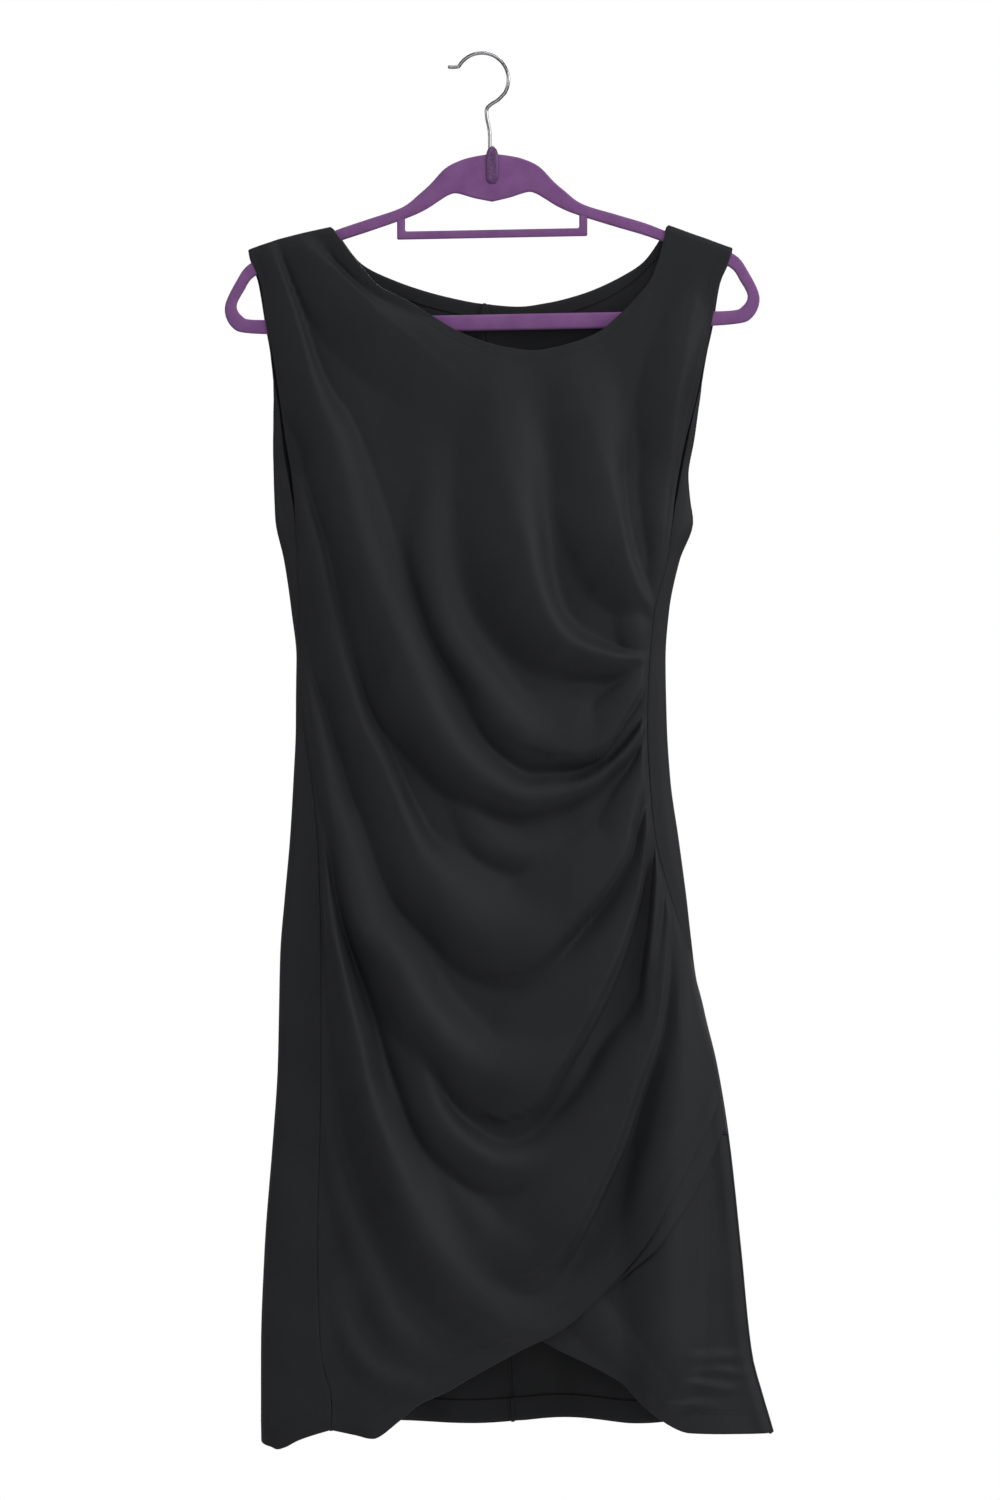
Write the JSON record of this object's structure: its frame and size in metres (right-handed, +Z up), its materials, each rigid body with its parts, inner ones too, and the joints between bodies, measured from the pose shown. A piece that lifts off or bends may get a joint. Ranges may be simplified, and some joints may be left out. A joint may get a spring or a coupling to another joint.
{
  "type": "cocktail dress on a clothes hanger",
  "caption": "Sleeveless knee-length draped wrap-front cocktail dress in dark jersey, hanging from a slim flocked hanger with a trouser bar and a wire hook.",
  "frame": {"origin": "inside of the hook's crown, on the rail that holds the hanger", "axes": "+Z up along the hanging dress, -Y out of its front, +X to the right as seen from the front (the wearer's left)"},
  "size_m": [0.4569, 0.0839, 1.1586],
  "materials": {
    "jersey": "matt stretch jersey with a faint sheen",
    "flock": "flocked moulding, velvety",
    "hook_wire": "polished"
  },
  "bodies": {
    "root": {"front_drape": "jersey", "drape_facing": "jersey", "front_underskirt": "jersey", "back_left": "jersey", "back_right": "jersey", "hanger_body": "flock", "hanger_hook": "hook_wire"}
  },
  "joints": []
}
